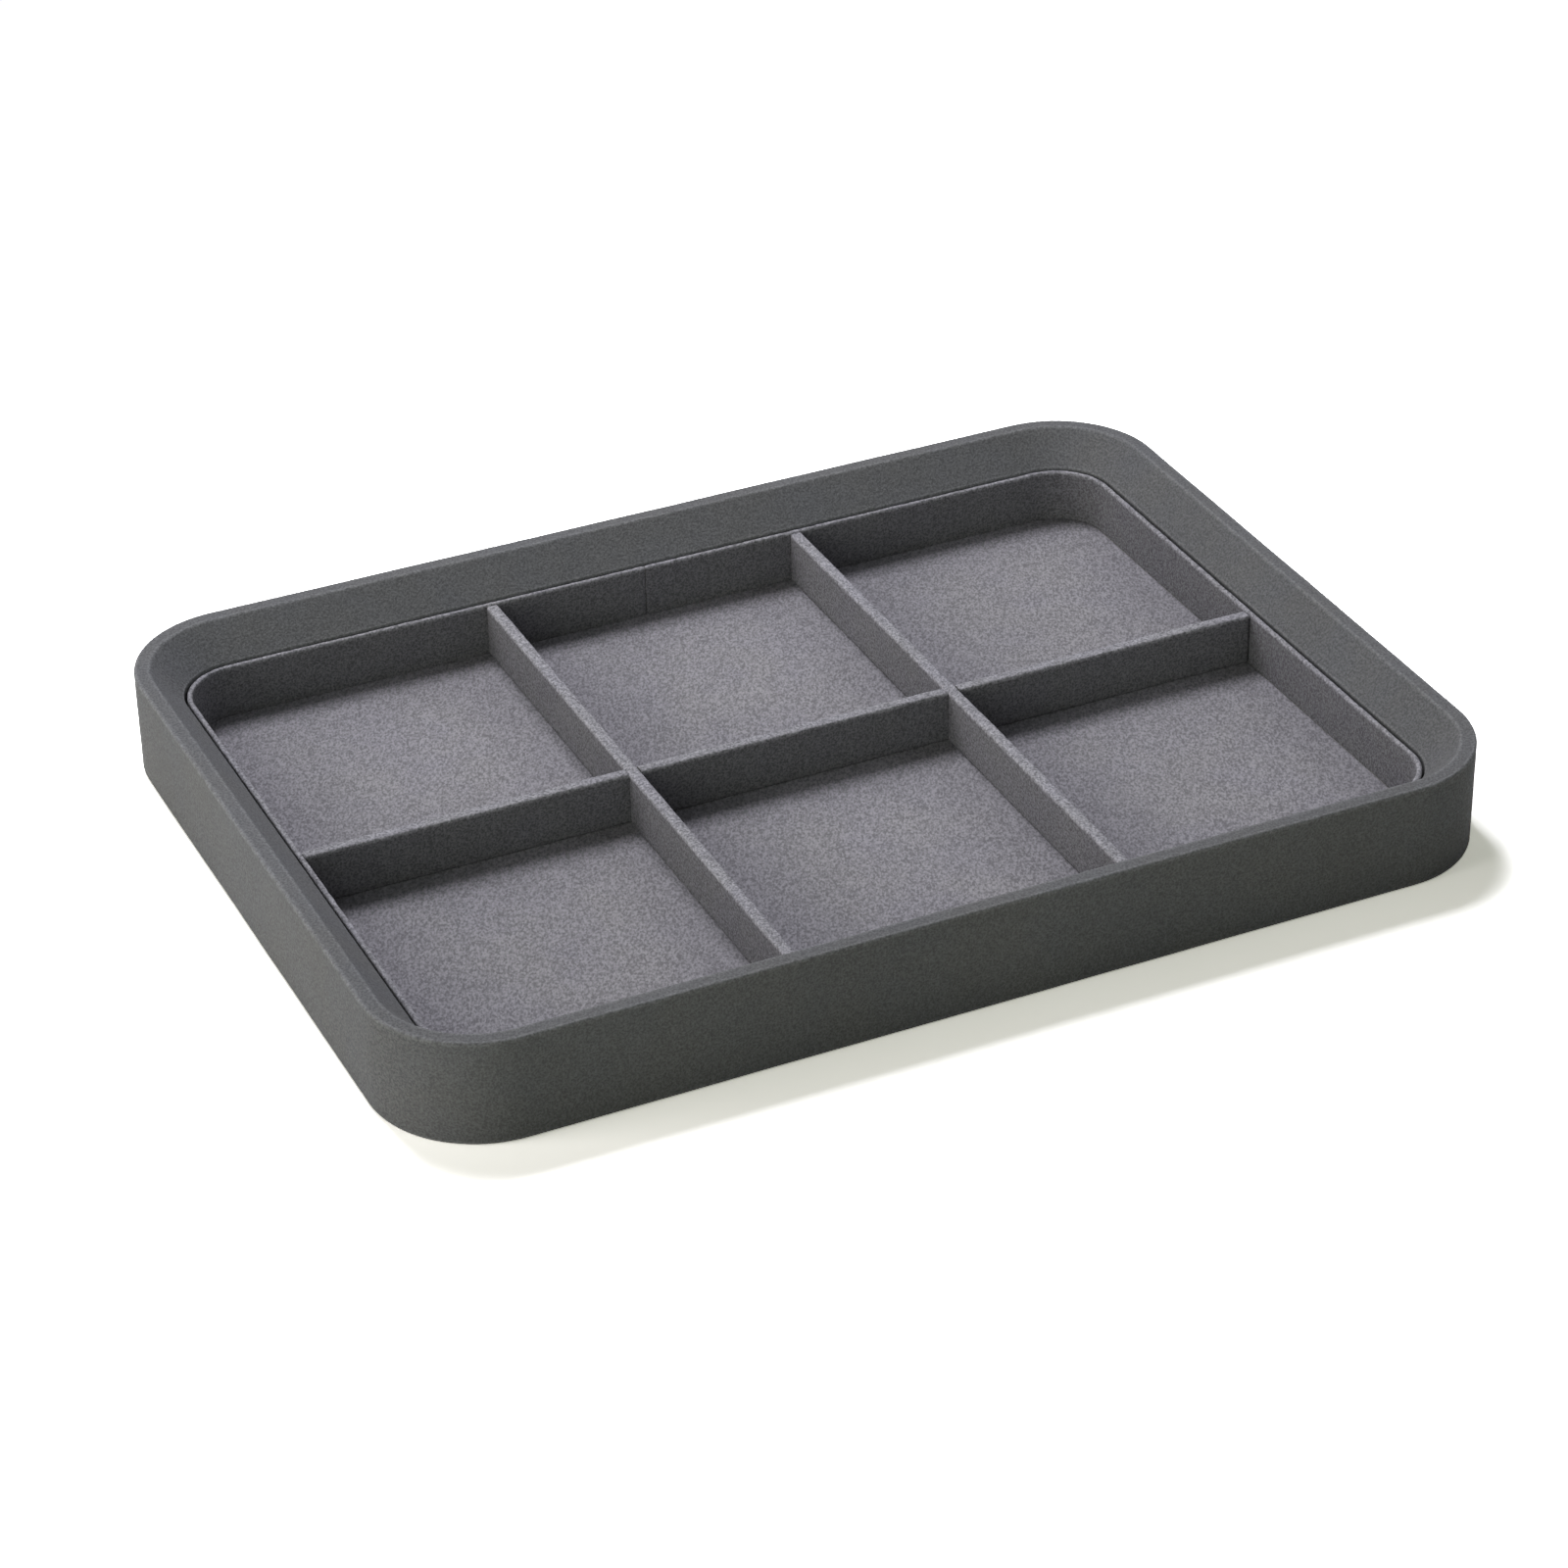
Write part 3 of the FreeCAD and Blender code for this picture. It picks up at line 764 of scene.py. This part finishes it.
def add_divider(name, node, slots, from_top, turn, x, seed):
    """A divider's cloth in its node's place, with slots open at the top or else below."""
    low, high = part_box(node)
    height = high.z - low.z
    middle = height / 2
    if from_top:
        slot_ends = (middle - SLOT_END_PLAY, height + SLOT_OVERRUN)
    else:
        slot_ends = (-SLOT_OVERRUN, middle + SLOT_END_PLAY)
    bm = divider_face(long_side(node) / 2, height, slots, *slot_ends, seed)
    place = Matrix.Translation((x, 0, low.z)) @ Matrix.Rotation(math.radians(turn), 4, "Z")
    bmesh.ops.transform(bm, matrix=place, verts=bm.verts)
    body = node.replace("_cover", "")
    return new_piece(name, bm, CLOTH_SKIN, body, node, shaded_insert_cloth)


cross_cover = add_divider(
    "cross_divider_cloth", "cross_divider_cover", slots=(-DIVIDER_X, DIVIDER_X), from_top=True,
    turn=0, x=0, seed=11.0)
left_cover = add_divider(
    "left_divider_cloth", "left_divider_cover", slots=(0,), from_top=False,
    turn=90, x=-DIVIDER_X, seed=13.0)
right_cover = add_divider(
    "right_divider_cloth", "right_divider_cover", slots=(0,), from_top=False,
    turn=90, x=DIVIDER_X, seed=17.0)

board_materials = {
    "outer_frame": fibreboard, "base_board": fibreboard, "base_brads": brad_steel,
    "insert_wall": greyboard, "insert_floor_board": greyboard,
    "cross_divider_board": greyboard, "left_divider_board": greyboard, "right_divider_board": greyboard,
}
for node_name, material in board_materials.items():
    node_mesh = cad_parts[node_name].data
    node_mesh.materials.clear()
    node_mesh.materials.append(material)

# studio: the floor's colour as it lights the tray, as the camera sees it lit, and what shows even in shadow
FLOOR_HALF = 6.0
FLOOR_FADE = (0.30, 0.75)
FLOOR_BOUNCE = (0.90, 0.92, 0.80, 1.0)
FLOOR_SEEN = (3.1, 3.1, 3.05, 1.0)
FLOOR_LIFT = (0.345, 0.35, 0.30, 1.0)
WORLD_LEVEL = 0.01

# name, direction, distance, size and level of each lamp
SOFTBOXES = (
    ("key_back", (-0.02, 0.562, 1.0), 1.5, 0.57, (0.755, 0.75, 0.797)),
    ("fill_left", (-1.0, 0.0, 0.2), 1.6, 1.0, (0.53, 0.505, 0.50)),
    ("fill_front", (0.0, -1.0, 0.35), 1.6, 1.0, (0.038, 0.039, 0.037)),
)

# lamps that leave the floor out, so that its shadow stays plain
SIDE_SOFTBOXES = (
    ("fill_left_front", (-0.8, -0.8, 0.5), 1.6, 1.0, (0.164, 0.177, 0.152)),
    ("fill_back_left", (-0.8, 0.8, 0.8), 1.6, 1.0, (0.19, 0.19, 0.19)),
    ("fill_right", (1.0, 0.0, 0.9), 1.6, 1.0, (0.14, 0.143, 0.15)),
)


def seen_ray(tree):
    """1 for rays that show the background: straight from the camera, off gloss or through glass."""
    rays = tree.nodes.new("ShaderNodeLightPath").outputs
    seen = add_math(tree, "MAXIMUM", rays["Is Camera Ray"], rays["Is Glossy Ray"])
    return add_math(tree, "MAXIMUM", seen, rays["Is Transmission Ray"])


def add_shader(tree, kind, *inputs):
    """A shader with its first inputs."""
    return add_node(tree, kind, None, dict(enumerate(inputs))).outputs[0]


def make_floor():
    """A pale floor that keeps the tray's shadow and goes over into white further off."""
    bm = bmesh.new()
    bmesh.ops.create_grid(bm, x_segments=2, y_segments=2, size=FLOOR_HALF)
    mesh = bpy.data.meshes.new("floor")
    bm.to_mesh(mesh)
    bm.free()
    floor = bpy.data.objects.new("floor", mesh)
    bpy.context.scene.collection.objects.link(floor)
    material, tree, place = empty_material("studio_floor")
    distance = add_node(tree, "ShaderNodeVectorMath", {"operation": "LENGTH"}, {0: place}).outputs["Value"]
    far = add_ease(tree, distance, *FLOOR_FADE)
    bounce = add_shader(tree, "ShaderNodeBsdfDiffuse", FLOOR_BOUNCE)
    lit = add_shader(tree, "ShaderNodeBsdfDiffuse", FLOOR_SEEN)
    lift = add_shader(tree, "ShaderNodeEmission", FLOOR_LIFT, 1.0)
    near = add_shader(tree, "ShaderNodeAddShader", lit, lift)
    white = add_shader(tree, "ShaderNodeEmission", grey(1.0), 1.0)
    shown = add_shader(tree, "ShaderNodeMixShader", far, near, white)
    surface = add_shader(tree, "ShaderNodeMixShader", seen_ray(tree), bounce, shown)
    add_node(tree, "ShaderNodeOutputMaterial", None, {"Surface": surface})
    mesh.materials.append(material)
    return floor


def make_world():
    """Even light from all round, in front of a white background."""
    world = bpy.data.worlds.new("studio")
    world.use_nodes = True
    tree = world.node_tree
    tree.nodes.clear()
    soft = add_shader(tree, "ShaderNodeBackground", grey(1.0), WORLD_LEVEL)
    white = add_shader(tree, "ShaderNodeBackground", grey(1.0), 1.0)
    surface = add_shader(tree, "ShaderNodeMixShader", seen_ray(tree), soft, white)
    add_node(tree, "ShaderNodeOutputWorld", None, {"Surface": surface})
    bpy.context.scene.world = world


def add_softbox(name, direction, distance, size, level, left_out=None):
    """A square lamp aimed at the tray. At a level of 1 a face turned to it shows its colour as written."""
    lamp = bpy.data.lights.new(name, "AREA")
    lamp.shape = "SQUARE"
    lamp.size = size
    lamp.color = level
    lamp.energy = (math.pi * distance) ** 2
    box = bpy.data.objects.new(name, lamp)
    bpy.context.scene.collection.objects.link(box)
    away = Vector(direction).normalized()
    box.location = away * distance
    box.rotation_mode = "QUATERNION"
    box.rotation_quaternion = (-away).to_track_quat("-Z", "Y")
    if left_out:
        box.light_linking.receiver_collection = left_out


floor = make_floor()
make_world()
floor_apart = bpy.data.collections.new("floor_apart")
floor_apart.objects.link(floor)
floor_apart.collection_objects[0].light_linking.link_state = "EXCLUDE"
for softbox in SOFTBOXES:
    add_softbox(*softbox)
for softbox in SIDE_SOFTBOXES:
    add_softbox(*softbox, floor_apart)

# camera
CAMERA_AZIMUTH = math.radians(-24.69)
CAMERA_ELEVATION = math.radians(31.72)
CAMERA_ROLL = math.radians(-1.0)
CAMERA_DISTANCE = 1.39613
CAMERA_ASIDE = (-3.44 * MM, 2.81 * MM)
CAMERA_LENS = 105.03
CAMERA_SENSOR = 36
CAMERA_CLIP = (0.05, 50)


def make_camera():
    """The camera of the photo, as fitted to the tray's outline in it."""
    level = math.cos(CAMERA_ELEVATION)
    away = Vector((
        math.sin(CAMERA_AZIMUTH) * level, -math.cos(CAMERA_AZIMUTH) * level, math.sin(CAMERA_ELEVATION)))
    across = UP.cross(away).normalized()
    unshaded = away.cross(across)
    turned = Matrix.Rotation(CAMERA_ROLL, 3, away)
    across = turned @ across
    unshaded = turned @ unshaded
    data = bpy.data.cameras.new("camera")
    data.sensor_width = CAMERA_SENSOR
    data.lens = CAMERA_LENS
    data.clip_start, data.clip_end = CAMERA_CLIP
    camera = bpy.data.objects.new("camera", data)
    bpy.context.scene.collection.objects.link(camera)
    place = away * CAMERA_DISTANCE + across * CAMERA_ASIDE[0] + unshaded * CAMERA_ASIDE[1]
    turn = Matrix((across, unshaded, away)).transposed()
    camera.matrix_world = Matrix.Translation(place) @ turn.to_4x4()
    bpy.context.scene.camera = camera


make_camera()
bpy.context.scene.view_settings.view_transform = "Standard"
